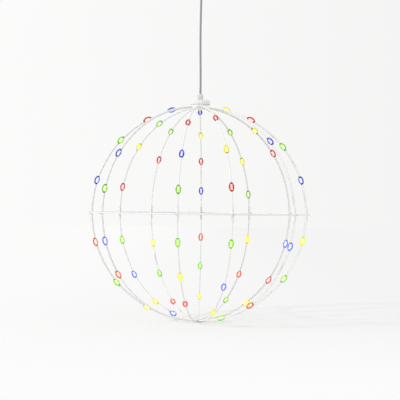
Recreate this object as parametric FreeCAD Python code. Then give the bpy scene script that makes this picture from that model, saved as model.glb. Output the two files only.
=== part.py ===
import FreeCAD, Part
import math
import os

os.makedirs("parts", exist_ok=True)

Vector = FreeCAD.Vector

# A garden globe light that hangs from a ceiling on its supply cord. Sizes are in millimetres.
# The origin is the centre of the ceiling fitting's mounting face, +Z is up and -Y is the front.
# Angles round the globe count from the front (-Y) towards +X, and polar angles from the top.

# Fits, and how far a cutting shape goes past the solid that it opens
push_fit = 0.05
running_fit = 0.06
loose_fit = 0.15
cut_past = 1.0

# Wire globe
globe_radius = 200.0
rib_diameter = 2.8
lead_diameter = 1.2
lead_gap = 0.05
ring_wire_diameter = 2.6

# Joint on each rib at the ring
joint_length = 26.0
joint_wall = 0.95
sleeve_overlap = 0.3
joint_collar_length = 5.0
joint_collar_wall = 0.35
joint_chamber_length = 2.0
joint_chamber_room = 0.25
clip_length = 5.0
clip_wall = 0.9
clip_mouth = 1.9
rib_end_gap = 0.2

# Hub at the top of the globe
hub_diameter = 37.0
hub_base_height = 7.6
hub_base_below_rib = 4.3
hub_base_floor = 1.5
hub_base_taper = 2.0
hub_rib_depth = 5.5
hub_cavity_diameter = 23.0
hub_spigot_height = 1.8
hub_spigot_wall = 2.0
hub_cap_height = 8.0
hub_cap_wall = 2.5
hub_cap_roof = 2.0
hub_cap_rounding = 2.0
hub_grip_count = 24
hub_grip_depth = 0.6
hub_grip_groove_diameter = 2.6
hub_grip_margin = 0.8
hub_seal_thickness = 1.0
hub_seal_inset = 1.0
hub_screw_count = 3
hub_screw_circle = 15.0
hub_screw_first_angle = 70.0
hub_screw_diameter = 2.5
hub_screw_head_diameter = 4.6
hub_screw_head_height = 1.0
hub_screw_slot_width = 0.6
hub_screw_slot_depth = 0.5
hub_screw_bite = 3.0
hub_boss_wall = 1.1

# Wiring board inside the hub
board_thickness = 1.6
chip_length = 7.0
chip_width = 5.0
chip_height = 1.7
chip_from_axis = 9.5
chip_angle = 0.0
pad_diameter = 1.6
pad_height = 0.5
core_diameter = 1.3
core_spacing = 1.9
core_tail = 1.2

# Foot collar at the bottom of the globe
foot_diameter = 15.0
foot_collar_above_rib = 2.6
foot_cap_below_rib = 3.0
foot_rib_depth = 1.9
foot_screw_diameter = 2.5
foot_screw_head_diameter = 4.4
foot_screw_head_height = 1.2
foot_screw_slot_width = 0.7
foot_screw_slot_depth = 0.6
foot_screw_bite = 2.0

# Cable gland on the hub's cap
gland_flange_across = 9.0
gland_flange_height = 2.0
gland_barrel_diameter = 7.2
gland_barrel_height = 7.2
gland_stem_diameter = 6.0
gland_stem_below_roof = 2.4
gland_locknut_across = 9.0
gland_locknut_height = 2.0
gland_seat_depth = 6.0
gland_seal_wall = 0.65
gland_nut_across = 9.3
gland_nut_height = 9.6
gland_nut_wall = 0.95
gland_nut_lift = 0.5
gland_nut_roof = 2.3

# Supply cord
cord_diameter = 3.8
cord_free_length = 180.0

# Swivel in the ceiling fitting
ball_diameter = 18.0
ball_top_flat = 6.5
neck_diameter = 7.2
neck_below_centre = 14.0
grip_screw_diameter = 2.4
grip_screw_above_end = 3.0
cup_wall = 2.4
cup_flange_width = 2.0
cup_flange_height = 2.0
cup_below_centre = 6.5

# Ceiling fitting
rose_diameter = 70.0
rose_depth = 32.5
rose_wall = 2.2
rose_floor_diameter = 36.0
rose_straight_rim = 9.0
rose_rim_rounding = 5.0
rose_ceiling_gap = 1.0
rose_plate_thickness = 3.0
rose_skirt_height = 4.6
rose_skirt_wall = 2.0
wire_entry_diameter = 12.0
ceiling_screw_spacing = 50.0
ceiling_screw_hole_diameter = 4.5
cover_screw_diameter = 3.0
cover_screw_head_diameter = 5.6
cover_screw_head_height = 1.6
cover_screw_below_ceiling = 5.6

# Terminal block on the cord's end inside the ceiling fitting
terminal_length = 14.0
terminal_width = 10.0
terminal_height = 9.0
terminal_above_ball = 2.0
terminal_screw_diameter = 2.6
terminal_screw_depth = 4.0
terminal_screw_spacing = 7.0
terminal_wire_hole_diameter = 2.6
terminal_wire_hole_depth = 6.0

# Lamps along the ribs
lamp_length = 17.0
lamp_diameter = 9.6
lamp_tip_radius = 3.0
lamp_wall = 1.0
holder_length = 9.0
holder_wall = 0.85
holder_flat = 0.45
chip_led_length = 3.0
chip_led_width = 1.8
chip_led_height = 0.9

# Each rib: its angle at the ring, its angle at the hub, then its lamps as polar angle and colour
ribs = [
    (16.5, 7.0, [(31.5, "red"), (56, "yellow"), (76.5, "red"),
                 (104.5, "green"), (129, "blue"), (151.5, "yellow")]),
    (58.0, 42.0, [(49, "blue"), (106.5, "blue"), (146, "red")]),
    (87.5, 86.0, [(14, "yellow"), (28.5, "red"), (51, "green"), (71.5, "blue"),
                  (104.5, "yellow"), (127, "green"), (167.5, "green")]),
    (117.5, 134.0, [(37, "yellow"), (54, "red"), (107, "blue"), (130, "red"), (149, "yellow")]),
    (149.3, 163.0, [(37, "green"), (58.5, "yellow"), (79, "green"),
                    (105.5, "yellow"), (127.5, "red"), (148, "green")]),
    (178.8, 184.0, [(15, "blue"), (39.5, "yellow"), (58.5, "red"), (77, "blue"),
                    (104.5, "red"), (122.5, "green"), (146, "yellow")]),
    (209.1, 201.0, [(37, "green"), (58, "red"), (108, "yellow"), (127.5, "green"), (150, "red")]),
    (232.0, 217.0, [(30.5, "green"), (50, "yellow"), (75.5, "red"),
                    (106, "green"), (127.5, "blue"), (149, "yellow"), (163, "blue")]),
    (273.5, 271.0, [(15.5, "blue"), (29.5, "red"), (47.5, "green"), (72.5, "blue"),
                    (106, "red"), (130.5, "green"), (151.5, "yellow")]),
    (300.5, 300.0, [(57.5, "blue"), (77.5, "green"), (104.5, "blue"), (123.5, "red")]),
    (349.5, 353.0, [(36.5, "red"), (59, "blue"), (78, "green"),
                    (104, "green"), (122.5, "yellow"), (142.5, "red")]),
]
foot_first_angle = 17.6
colours = ["red", "green", "blue", "yellow"]

# Sizes worked out from those above
rib_radius = rib_diameter / 2
lead_radius = lead_diameter / 2
lead_offset = rib_radius + lead_gap + lead_radius
lead_path_radius = globe_radius - lead_offset
ring_radius = ring_wire_diameter / 2
hub_radius = hub_diameter / 2
foot_radius = foot_diameter / 2
cord_radius = cord_diameter / 2
cord_bore = cord_radius + push_fit

# Heights from the ceiling down to the swivel, the hub and the globe's centre
ball_centre = -(rose_depth - rose_wall)
neck_end = ball_centre - neck_below_centre
gland_nut_top = neck_end - cord_free_length
cap_top = gland_nut_top - gland_nut_height - gland_nut_lift - gland_flange_height
cap_bottom = cap_top - hub_cap_height
base_top = cap_bottom - hub_seal_thickness
base_bottom = base_top - hub_base_height
globe_centre = base_bottom + hub_base_below_rib - math.sqrt(globe_radius ** 2 - hub_radius ** 2)
centre = Vector(0, 0, globe_centre)
board_bottom = base_top + hub_spigot_height
board_top = board_bottom + board_thickness
foot_middle = globe_centre - math.sqrt(globe_radius ** 2 - foot_radius ** 2)


def export(name, solids):
    """Write one node from a solid or a list of separate solids."""
    shape = Part.makeCompound(solids) if isinstance(solids, list) else solids
    shape.exportStep("parts/" + name + ".step")


def cylinder(radius, low, high, x=0.0, y=0.0):
    """An upright cylinder between two heights."""
    return Part.makeCylinder(radius, high - low, Vector(x, y, low), Vector(0, 0, 1))


def tube(outer, inner, low, high):
    """An upright tube on the main axis."""
    return cylinder(outer, low, high).cut(cylinder(inner, low - cut_past, high + cut_past))


def turned(outline):
    """A solid turned about the main axis from (radius, height) points."""
    points = [Vector(radius, 0, height) for radius, height in outline]
    face = Part.Face(Part.makePolygon(points + [points[0]]))
    return face.revolve(Vector(0, 0, 0), Vector(0, 0, 1), 360)


def hexagon(across_flats, low, high):
    """An upright hexagonal prism on the main axis."""
    corner = across_flats / 2 / math.cos(math.pi / 6)
    turns = [math.pi / 3 * side for side in range(6)]
    points = [Vector(corner * math.cos(turn), corner * math.sin(turn), low) for turn in turns]
    return Part.Face(Part.makePolygon(points + [points[0]])).extrude(Vector(0, 0, high - low))


def block(size_x, size_y, low, high, x=0.0, y=0.0):
    """An upright block, centred on x and y."""
    return Part.makeBox(size_x, size_y, high - low, Vector(x - size_x / 2, y - size_y / 2, low))


def rounded_rim(solid, radius, height, rounding):
    """Round the circular edge of a turned solid at a radius and height."""
    edges = []
    for edge in solid.Edges:
        curve = edge.Curve
        if isinstance(curve, Part.Circle) and abs(curve.Radius - radius) < 0.01:
            if abs(curve.Center.z - height) < 0.01:
                edges.append(edge)
    return solid.makeFillet(rounding, edges)


def around(angle, distance=1.0):
    """A level vector at an angle round the globe, counted from the front."""
    return Vector(math.sin(math.radians(angle)), -math.cos(math.radians(angle)), 0) * distance


class RibArc:
    """A quarter of a rib: the arc from the ring to the hub (side 1) or to the foot (side -1)."""

    def __init__(self, ring_angle, end_angle, end_radius, side):
        self.outward = around(ring_angle)
        end = around(end_angle, end_radius)
        end.z = side * math.sqrt(globe_radius ** 2 - end_radius ** 2)
        end.normalize()
        self.along = end - self.outward * end.dot(self.outward)
        self.along.normalize()
        self.normal = self.outward.cross(self.along)
        self.sweep = math.degrees(math.acos(end.dot(self.outward)))

    def radial(self, angle):
        turn = math.radians(angle)
        return self.outward * math.cos(turn) + self.along * math.sin(turn)

    def tangent(self, angle):
        turn = math.radians(angle)
        return self.along * math.cos(turn) - self.outward * math.sin(turn)

    def point(self, path_radius, angle):
        return centre + self.radial(angle) * path_radius

    def tube(self, path_radius, tube_radius, start, stop):
        """A round wire that follows the arc between two angles, at its own distance from the centre."""
        circle = Part.Circle(self.point(path_radius, start), self.tangent(start), tube_radius)
        face = Part.Face(Part.Wire(circle.toShape()))
        return face.revolve(centre, self.normal, stop - start)

    def angle_at_height(self, height_ratio):
        """The angle at which the arc reaches a height, as a share of the path's radius."""
        return math.degrees(math.asin(height_ratio / self.along.z))

    def bore(self, path_radius, bore_radius, depth, past):
        """A bore that follows the arc's last stretch, over a depth along it and a little past its end."""
        start = self.sweep - math.degrees(depth / path_radius)
        return self.tube(path_radius, bore_radius, start, self.sweep + math.degrees(past / path_radius))

    def level_placement(self):
        """Local X outward and local Z upright, at the arc's start on the ring's level."""
        side = Vector(0, 0, 1).cross(self.outward)
        spot = self.point(globe_radius, 0)
        return FreeCAD.Placement(FreeCAD.Matrix(
            self.outward.x, side.x, 0, spot.x,
            self.outward.y, side.y, 0, spot.y,
            0, 0, 1, spot.z,
            0, 0, 0, 1))

    def placement(self, angle):
        """Local X outward, local Z along the arc, origin on the rib's centre line."""
        outward = self.radial(angle)
        along = self.tangent(angle)
        side = along.cross(outward)
        spot = self.point(globe_radius, angle)
        return FreeCAD.Placement(FreeCAD.Matrix(
            outward.x, side.x, along.x, spot.x,
            outward.y, side.y, along.y, spot.y,
            outward.z, side.z, along.z, spot.z,
            0, 0, 0, 1))


def bend_over(length, path_radius=globe_radius):
    """How far a wire of the globe's curvature leaves a straight line over a length."""
    return length ** 2 / 8 / path_radius


def local_bore(radius, length, offset=0.0):
    """A straight bore along local Z, with room for the bend of the wire in it."""
    return Part.makeCylinder(radius, 2 * length, Vector(offset, 0, -length), Vector(0, 0, 1))


def lead_slot(depth, length, room):
    """A straight slot along local Z on the side towards the globe's centre, for the lead."""
    width = lead_diameter + 2 * (push_fit + room)
    return Part.makeBox(depth, width, 2 * length, Vector(-depth, -width / 2, -length))


def oval(half_length, half_width, tip_radius):
    """A closed oval turned about local Z, of side arcs that run smoothly into round tips."""
    squares = half_length ** 2 + half_width ** 2
    side_radius = (squares - 2 * half_length * tip_radius) / 2 / (half_width - tip_radius)
    side_centre = half_width - side_radius
    tip_centre = half_length - tip_radius
    join_angle = math.atan2(tip_centre, -side_centre)
    tip_angle = (join_angle + math.pi / 2) / 2

    def tip_point(angle, end):
        return Vector(tip_radius * math.cos(angle), 0, end * (tip_centre + tip_radius * math.sin(angle)))

    top = Part.Arc(Vector(0, 0, half_length), tip_point(tip_angle, 1), tip_point(join_angle, 1))
    side = Part.Arc(tip_point(join_angle, 1), Vector(half_width, 0, 0), tip_point(join_angle, -1))
    bottom = Part.Arc(tip_point(join_angle, -1), tip_point(tip_angle, -1), Vector(0, 0, -half_length))
    axis = Part.LineSegment(Vector(0, 0, -half_length), Vector(0, 0, half_length))
    outline = Part.Wire([top.toShape(), side.toShape(), bottom.toShape(), axis.toShape()])
    return Part.Face(outline).revolve(Vector(0, 0, 0), Vector(0, 0, 1), 360)


def lamp_cover():
    """The oval translucent cover, threaded on the rib with a channel for the lead beside it."""
    half_length = lamp_length / 2
    half_width = lamp_diameter / 2
    cover = oval(half_length, half_width, lamp_tip_radius)
    cover = cover.cut(oval(half_length - lamp_wall, half_width - lamp_wall, lamp_tip_radius - lamp_wall))
    bend = bend_over(lamp_length)
    cover = cover.cut(local_bore(rib_radius + push_fit + bend, lamp_length))
    return cover.cut(local_bore(lead_radius + push_fit + bend, lamp_length, -lead_offset))


def lamp_holder():
    """The clip on the rib inside a cover, with a flat for the light chip and a groove for the lead."""
    bore = rib_radius + push_fit + bend_over(holder_length)
    outer = bore + holder_wall
    holder = Part.makeCylinder(outer, holder_length, Vector(0, 0, -holder_length / 2), Vector(0, 0, 1))
    holder = holder.cut(local_bore(bore, holder_length))
    holder = holder.cut(lead_slot(2 * outer, holder_length, bend_over(holder_length)))
    corner = Vector(bore + holder_flat, -outer, -holder_length)
    flat = Part.makeBox(outer, 2 * outer, 2 * holder_length, corner)
    return holder.cut(flat)


def lamp_chip():
    """The light chip that sits on the holder's flat."""
    flat = rib_radius + push_fit + bend_over(holder_length) + holder_flat
    corner = Vector(flat, -chip_led_width / 2, -chip_led_length / 2)
    return Part.makeBox(chip_led_height, chip_led_width, chip_led_length, corner)


def placed(shape, placement):
    """A copy of a local shape at its place on the globe."""
    copy = shape.copy()
    copy.Placement = placement
    return copy


# Arcs of the ribs
rib_count = len(ribs)
hub_rib_end = hub_radius - hub_rib_depth
foot_rib_end = foot_radius - foot_rib_depth
upper_arcs = [RibArc(ring_angle, hub_angle, hub_rib_end, 1) for ring_angle, hub_angle, lamps in ribs]
lower_arcs = []
for index, (ring_angle, hub_angle, lamps) in enumerate(ribs):
    foot_angle = foot_first_angle + 360.0 / rib_count * index
    lower_arcs.append(RibArc(ring_angle, foot_angle, foot_rib_end, -1))

# Each joint's sleeve is two straight halves, one along each rib half, and the ring lies outside them
half_joint = joint_length / 2
joint_bend = bend_over(half_joint)
joint_room = push_fit + joint_bend
joint_radius = rib_radius + joint_room + joint_wall
joint_collar_radius = joint_radius + joint_collar_wall
ring_offset = joint_collar_radius + push_fit + ring_radius
ring_path_radius = globe_radius + ring_offset
clip_bore = ring_radius + push_fit + bend_over(clip_length, ring_path_radius)
clip_radius = clip_bore + clip_wall

# Ribs: each half ends in the joint at the ring
rib_start = math.degrees(rib_end_gap / 2 / globe_radius)
for index in range(rib_count):
    name = "rib_%02d" % (index + 1)
    upper = upper_arcs[index]
    lower = lower_arcs[index]
    export("upper_" + name, upper.tube(globe_radius, rib_radius, rib_start, upper.sweep))
    export("lower_" + name, lower.tube(globe_radius, rib_radius, rib_start, lower.sweep))

# Ring round the outside of the joints
export("equator_ring", Part.makeTorus(ring_path_radius, ring_radius, centre))


def half_sleeve(radius, past):
    """A straight cylinder along local Z for one half of a sleeve, from the ring's level to its end."""
    start = -half_joint / 2 - sleeve_overlap
    length = half_joint + sleeve_overlap + past
    return Part.makeCylinder(radius, length, Vector(0, 0, start), Vector(0, 0, 1))


def lead_way(width, low, high):
    """A box along local Z that opens a sleeve towards the globe's centre, for the lead."""
    depth = 2 * joint_collar_radius
    return Part.makeBox(depth, width, high - low, Vector(-depth, -width / 2, low))


def joint_middle():
    """The collar that joins a sleeve's two halves, with the clip for the ring, in a level frame."""
    collar_end = Vector(0, 0, -joint_collar_length / 2)
    middle = Part.makeCylinder(joint_collar_radius, joint_collar_length, collar_end, Vector(0, 0, 1))
    clip_end = Vector(ring_offset, -clip_length / 2, 0)
    return middle.fuse(Part.makeCylinder(clip_radius, clip_length, clip_end, Vector(0, 1, 0)))


def joint_middle_spaces():
    """What is open in a joint's middle: the ring's way into the clip and the ribs' meeting chamber."""
    bore_end = Vector(ring_offset, -clip_length, 0)
    mouth_corner = Vector(ring_offset, -clip_length, -clip_mouth / 2)
    chamber_end = Vector(0, 0, -joint_chamber_length / 2)
    chamber_radius = rib_radius + joint_room + joint_chamber_room
    way = lead_diameter + 2 * (joint_room + joint_chamber_room)
    return [
        Part.makeCylinder(clip_bore, 2 * clip_length, bore_end, Vector(0, 1, 0)),
        Part.makeBox(2 * clip_radius, 2 * clip_length, clip_mouth, mouth_corner),
        Part.makeCylinder(chamber_radius, joint_chamber_length, chamber_end, Vector(0, 0, 1)),
        lead_way(way, -joint_chamber_length / 2, joint_chamber_length / 2)]


def ring_joint(upper, lower):
    """A joint: two sleeve halves that follow the rib halves, fused to the collar and the clip."""
    level = upper.level_placement()
    joint = placed(joint_middle(), level)
    spaces = [placed(space, level) for space in joint_middle_spaces()]
    for arc in (upper, lower):
        half = arc.placement(math.degrees(half_joint / 2 / globe_radius))
        joint = joint.fuse(placed(half_sleeve(joint_radius, 0), half))
        way = lead_way(lead_diameter + 2 * joint_room, -half_joint / 2, half_joint + cut_past)
        spaces.append(placed(half_sleeve(rib_radius + joint_room, cut_past), half))
        spaces.append(placed(way, half))
    for space in spaces:
        joint = joint.cut(space)
    return joint


# Joints: a sleeve for the two rib halves and a spring clip for the ring, as one moulding at each rib
export("ring_joints", [ring_joint(upper, lower) for upper, lower in zip(upper_arcs, lower_arcs)])

# Leads: along the inner side of each rib, from the board down to its last lamp
lead_end_radius = hub_cavity_diameter / 2 - lead_radius - push_fit
lead_end_height = math.sqrt(lead_path_radius ** 2 - lead_end_radius ** 2)
upper_leads = []
lower_leads = []
for index, (ring_angle, hub_angle, lamps) in enumerate(ribs):
    upper = upper_arcs[index]
    lower = lower_arcs[index]
    stop = upper.angle_at_height(lead_end_height / lead_path_radius)
    end = upper.point(lead_path_radius, stop)
    run = upper.tube(lead_path_radius, lead_radius, rib_start, stop)
    bend = Part.makeSphere(lead_radius, end)
    tail = cylinder(lead_radius, end.z, board_bottom, end.x, end.y)
    upper_leads.append(run.fuse([bend, tail]).removeSplitter())
    last = lower.angle_at_height(math.cos(math.radians(lamps[-1][0])))
    lower_leads.append(lower.tube(lead_path_radius, lead_radius, rib_start, last))
export("upper_leads", upper_leads)
export("lower_leads", lower_leads)

# Lamps
cover_shape = lamp_cover()
holder_shape = lamp_holder()
chip_shape = lamp_chip()
covers = {colour: [] for colour in colours}
holders = []
chips = []
for index, (ring_angle, hub_angle, lamps) in enumerate(ribs):
    for polar_angle, colour in lamps:
        height_ratio = math.cos(math.radians(polar_angle))
        arc = upper_arcs[index] if height_ratio > 0 else lower_arcs[index]
        place = arc.placement(arc.angle_at_height(height_ratio))
        covers[colour].append(placed(cover_shape, place))
        holders.append(placed(holder_shape, place))
        chips.append(placed(chip_shape, place))
for colour in colours:
    export("lamp_covers_" + colour, covers[colour])
export("lamp_holders", holders)
export("light_chips", chips)

# Hub base: takes the rib ends round its rim and the leads through its wall
base_floor = base_bottom + hub_base_floor
cap_inner = hub_radius - hub_cap_wall
spigot_radius = cap_inner - push_fit
spigot_top = base_top + hub_spigot_height
screw_spots = []
for index in range(hub_screw_count):
    angle = hub_screw_first_angle + 360.0 / hub_screw_count * index
    screw_spots.append(around(angle, hub_screw_circle / 2))
boss_radius = hub_screw_diameter / 2 + push_fit + hub_boss_wall
hub_base = turned([
    (0, base_bottom), (hub_radius - hub_base_taper, base_bottom), (hub_radius, base_bottom + hub_base_taper),
    (hub_radius, base_top), (spigot_radius, base_top), (spigot_radius, spigot_top),
    (spigot_radius - hub_spigot_wall, spigot_top), (spigot_radius - hub_spigot_wall, base_top),
    (hub_cavity_diameter / 2, base_top), (hub_cavity_diameter / 2, base_floor), (0, base_floor)])
for spot in screw_spots:
    hub_base = hub_base.fuse(cylinder(boss_radius, base_floor, board_bottom, spot.x, spot.y))
screw_hole_radius = hub_screw_diameter / 2 + push_fit
screw_recess_radius = hub_screw_head_diameter / 2 + push_fit
recess_top = base_bottom + hub_screw_head_height
below_base = base_bottom - cut_past
for spot in screw_spots:
    hub_base = hub_base.cut(cylinder(screw_hole_radius, below_base, board_top, spot.x, spot.y))
    hub_base = hub_base.cut(cylinder(screw_recess_radius, below_base, recess_top, spot.x, spot.y))
hub_bore_depth = 2 * hub_rib_depth + hub_base_taper
lead_bore_past = hub_rib_end - hub_cavity_diameter / 2 + lead_diameter + 2 * cut_past
lead_bore_radius = lead_radius + push_fit
for arc in upper_arcs:
    hub_base = hub_base.cut(arc.bore(globe_radius, rib_radius + push_fit, hub_bore_depth, 0))
    hub_base = hub_base.cut(arc.bore(lead_path_radius, lead_bore_radius, hub_bore_depth, lead_bore_past))
export("hub_base", hub_base)

# Hub cap
cap_roof = cap_top - hub_cap_roof
stem_radius = gland_stem_diameter / 2
hub_cap = turned([
    (stem_radius + push_fit, cap_top), (hub_radius, cap_top), (hub_radius, cap_bottom),
    (cap_inner, cap_bottom), (cap_inner, cap_roof), (stem_radius + push_fit, cap_roof)])
hub_cap = rounded_rim(hub_cap, hub_radius, cap_top, hub_cap_rounding)
grip_groove_radius = hub_grip_groove_diameter / 2
for index in range(hub_grip_count):
    spot = around(360.0 / hub_grip_count * index, hub_radius + grip_groove_radius - hub_grip_depth)
    groove = cylinder(grip_groove_radius, cap_bottom + hub_grip_margin, cap_top + cut_past, spot.x, spot.y)
    hub_cap = hub_cap.cut(groove)
screw_tip = board_top + hub_screw_bite
for spot in screw_spots:
    hub_cap = hub_cap.fuse(cylinder(boss_radius, board_top, cap_roof, spot.x, spot.y))
for spot in screw_spots:
    bite = cylinder(screw_hole_radius, board_top - cut_past, screw_tip + push_fit, spot.x, spot.y)
    hub_cap = hub_cap.cut(bite)
export("hub_cap", hub_cap)

# Seal in the groove between base and cap
export("hub_seal", tube(hub_radius - hub_seal_inset, spigot_radius + push_fit, base_top, cap_bottom))

# Hub screws, put in from below through the board
hub_screws = []
slot_top = base_bottom + hub_screw_slot_depth
for spot in screw_spots:
    head = cylinder(hub_screw_head_diameter / 2, base_bottom, recess_top, spot.x, spot.y)
    shank = cylinder(hub_screw_diameter / 2, base_bottom, screw_tip, spot.x, spot.y)
    slot = block(hub_screw_head_diameter, hub_screw_slot_width, below_base, slot_top, spot.x, spot.y)
    hub_screws.append(head.fuse(shank).cut(slot))
export("hub_screws", hub_screws)

# Wiring board with its driver chip, and the cord's two cores on their pads
board = cylinder(spigot_radius, board_bottom, board_top)
for spot in screw_spots:
    hole = cylinder(screw_hole_radius, board_bottom - cut_past, board_top + cut_past, spot.x, spot.y)
    board = board.cut(hole)
export("wiring_board", board)
chip_spot = around(chip_angle, chip_from_axis)
driver = block(chip_length, chip_width, board_top, board_top + chip_height, chip_spot.x, chip_spot.y)
export("driver_chip", driver)
pad_top = board_top + pad_height
cord_low = pad_top + core_tail
core_spots = (-core_spacing / 2, core_spacing / 2)
pads = [cylinder(pad_diameter / 2, board_top, pad_top, x) for x in core_spots]
cores = [cylinder(core_diameter / 2, pad_top, cord_low, x) for x in core_spots]
export("core_pads", pads)
export("cord_cores", cores)

# Foot: a collar over the rib ends, a cap under them and a screw through both
foot_collar_top = foot_middle + foot_collar_above_rib
foot_bottom = foot_middle - foot_cap_below_rib
foot_collar = cylinder(foot_radius, foot_middle, foot_collar_top)
foot_collar = rounded_rim(foot_collar, foot_radius, foot_collar_top, foot_collar_above_rib / 2)
foot_cap = cylinder(foot_radius, foot_bottom, foot_middle)
foot_cap = rounded_rim(foot_cap, foot_radius, foot_bottom, foot_cap_below_rib / 2)
foot_screw_tip = foot_middle + foot_screw_bite
foot_recess_top = foot_bottom + foot_screw_head_height
below_foot = foot_bottom - cut_past
foot_screw_hole = cylinder(foot_screw_diameter / 2 + push_fit, below_foot, foot_screw_tip + push_fit)
foot_recess = cylinder(foot_screw_head_diameter / 2 + push_fit, below_foot, foot_recess_top)
foot_bore_depth = 2 * foot_radius
foot_collar = foot_collar.cut(foot_screw_hole)
foot_cap = foot_cap.cut(foot_screw_hole).cut(foot_recess)
for arc in lower_arcs:
    space = arc.bore(globe_radius, rib_radius + push_fit, foot_bore_depth, 0)
    foot_collar = foot_collar.cut(space)
    foot_cap = foot_cap.cut(space)
export("foot_collar", foot_collar)
export("foot_cap", foot_cap)
foot_head = cylinder(foot_screw_head_diameter / 2, foot_bottom, foot_recess_top)
foot_screw = foot_head.fuse(cylinder(foot_screw_diameter / 2, foot_bottom, foot_screw_tip))
foot_slot_top = foot_bottom + foot_screw_slot_depth
foot_slot = block(foot_screw_head_diameter, foot_screw_slot_width, below_foot, foot_slot_top)
export("foot_screw", foot_screw.cut(foot_slot))

# Cable gland: body through the cap's roof, locknut under it, seal and nut above
flange_top = cap_top + gland_flange_height
barrel_top = flange_top + gland_barrel_height
stem_bottom = cap_roof - gland_stem_below_roof
seat_bottom = barrel_top - gland_seat_depth
gland_body = hexagon(gland_flange_across, cap_top, flange_top)
gland_body = gland_body.fuse(cylinder(gland_barrel_diameter / 2, flange_top, barrel_top))
gland_body = gland_body.fuse(cylinder(stem_radius, stem_bottom, cap_top))
seal_outer = cord_bore + gland_seal_wall
gland_body = gland_body.cut(cylinder(cord_bore, stem_bottom - cut_past, barrel_top + cut_past))
gland_body = gland_body.cut(cylinder(seal_outer + push_fit, seat_bottom, barrel_top + cut_past))
export("gland_body", gland_body)
locknut_bottom = cap_roof - gland_locknut_height
locknut = hexagon(gland_locknut_across, locknut_bottom, cap_roof)
locknut = locknut.cut(cylinder(stem_radius + push_fit, locknut_bottom - cut_past, cap_roof + cut_past))
export("gland_locknut", locknut)
export("gland_seal", tube(seal_outer, cord_bore, seat_bottom, barrel_top))
nut_bottom = flange_top + gland_nut_lift
nut_inner = gland_barrel_diameter / 2 + running_fit
nut_outer = nut_inner + gland_nut_wall
nut_shoulder = gland_nut_top - gland_nut_roof
gland_nut = turned([
    (nut_inner, nut_bottom), (nut_outer, nut_bottom), (nut_outer, nut_shoulder),
    (cord_radius + 2 * gland_nut_wall, gland_nut_top), (cord_radius + loose_fit, gland_nut_top),
    (cord_radius + loose_fit, nut_shoulder), (nut_inner, nut_shoulder)])
grip = hexagon(gland_nut_across, nut_bottom, nut_shoulder - gland_nut_wall)
grip = grip.cut(cylinder(nut_inner, nut_bottom - cut_past, nut_shoulder))
export("gland_nut", gland_nut.fuse(grip).removeSplitter())

# Supply cord: straight and taut from the board to the terminal block
terminal_bottom = ball_centre + ball_top_flat + terminal_above_ball
cord = cylinder(cord_radius, cord_low, terminal_bottom)
export("supply_cord", cord)
cord_length = terminal_bottom - cord_low
print("cord: whole length %.1f mm, seen %.1f mm" % (cord_length, cord_free_length))
cord_section = math.pi * cord_radius ** 2
print("cord: volume %.1f, section times length %.1f" % (cord.Volume, cord_section * cord_length))

# Swivel ball with the neck that grips the cord
ball = Part.makeSphere(ball_diameter / 2, Vector(0, 0, ball_centre))
ball = ball.cut(cylinder(ball_diameter, ball_centre + ball_top_flat, ball_centre + ball_diameter))
ball = ball.fuse(cylinder(neck_diameter / 2, neck_end, ball_centre))
ball = ball.cut(cylinder(cord_bore, neck_end - cut_past, ball_centre + ball_diameter))
grip_height = neck_end + grip_screw_above_end
grip_hole = Part.makeCylinder(
    grip_screw_diameter / 2 + push_fit, neck_diameter, Vector(0, 0, grip_height), Vector(0, 1, 0))
export("swivel_ball", ball.cut(grip_hole))
grip_start = Vector(0, cord_bore, grip_height)
grip_reach = neck_diameter / 2 - cord_bore
grip_screw = Part.makeCylinder(grip_screw_diameter / 2, grip_reach, grip_start, Vector(0, 1, 0))
export("grip_screw", grip_screw)

# Swivel cup: turns in the ceiling fitting's floor and carries the ball
seat_radius = ball_diameter / 2 + running_fit
cup_outer = seat_radius + cup_wall
cup_bottom = ball_centre - cup_below_centre
cup_top = ball_centre + cup_flange_height
cup = cylinder(cup_outer, cup_bottom, cup_top)
cup = cup.fuse(cylinder(cup_outer + cup_flange_width, ball_centre, cup_top))
cup = cup.cut(Part.makeSphere(seat_radius, Vector(0, 0, ball_centre)))
export("swivel_cup", cup.cut(cylinder(seat_radius, ball_centre, cup_top + cut_past)).removeSplitter())

# Terminal block on the cord's end, with its screws
terminal_top = terminal_bottom + terminal_height
terminal = block(terminal_length, terminal_width, terminal_bottom, terminal_top)
terminal_screws = []
wire_hole_radius = terminal_wire_hole_diameter / 2
wire_hole_bottom = terminal_top - terminal_wire_hole_depth
screw_reach = min(terminal_width / 2 - wire_hole_radius, terminal_screw_depth)
inward = Vector(0, -1, 0)
for x in (-terminal_screw_spacing / 2, terminal_screw_spacing / 2):
    terminal = terminal.cut(cylinder(wire_hole_radius, wire_hole_bottom, terminal_top + cut_past, x))
    face = Vector(x, terminal_width / 2, (terminal_bottom + terminal_top) / 2)
    hole = Part.makeCylinder(terminal_screw_diameter / 2 + push_fit, terminal_screw_depth, face, inward)
    terminal = terminal.cut(hole)
    terminal_screws.append(Part.makeCylinder(terminal_screw_diameter / 2, screw_reach, face, inward))
export("terminal_block", terminal)
export("terminal_screws", terminal_screws)

# Ceiling plate
cover_inner = rose_diameter / 2 - rose_wall
plate_radius = cover_inner - push_fit
plate_bottom = -rose_plate_thickness
skirt_bottom = plate_bottom - rose_skirt_height
plate = turned([
    (wire_entry_diameter / 2, 0), (plate_radius, 0), (plate_radius, skirt_bottom),
    (plate_radius - rose_skirt_wall, skirt_bottom), (plate_radius - rose_skirt_wall, plate_bottom),
    (wire_entry_diameter / 2, plate_bottom)])
for x in (-ceiling_screw_spacing / 2, ceiling_screw_spacing / 2):
    plate = plate.cut(cylinder(ceiling_screw_hole_diameter / 2, plate_bottom - cut_past, cut_past, x))

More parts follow.
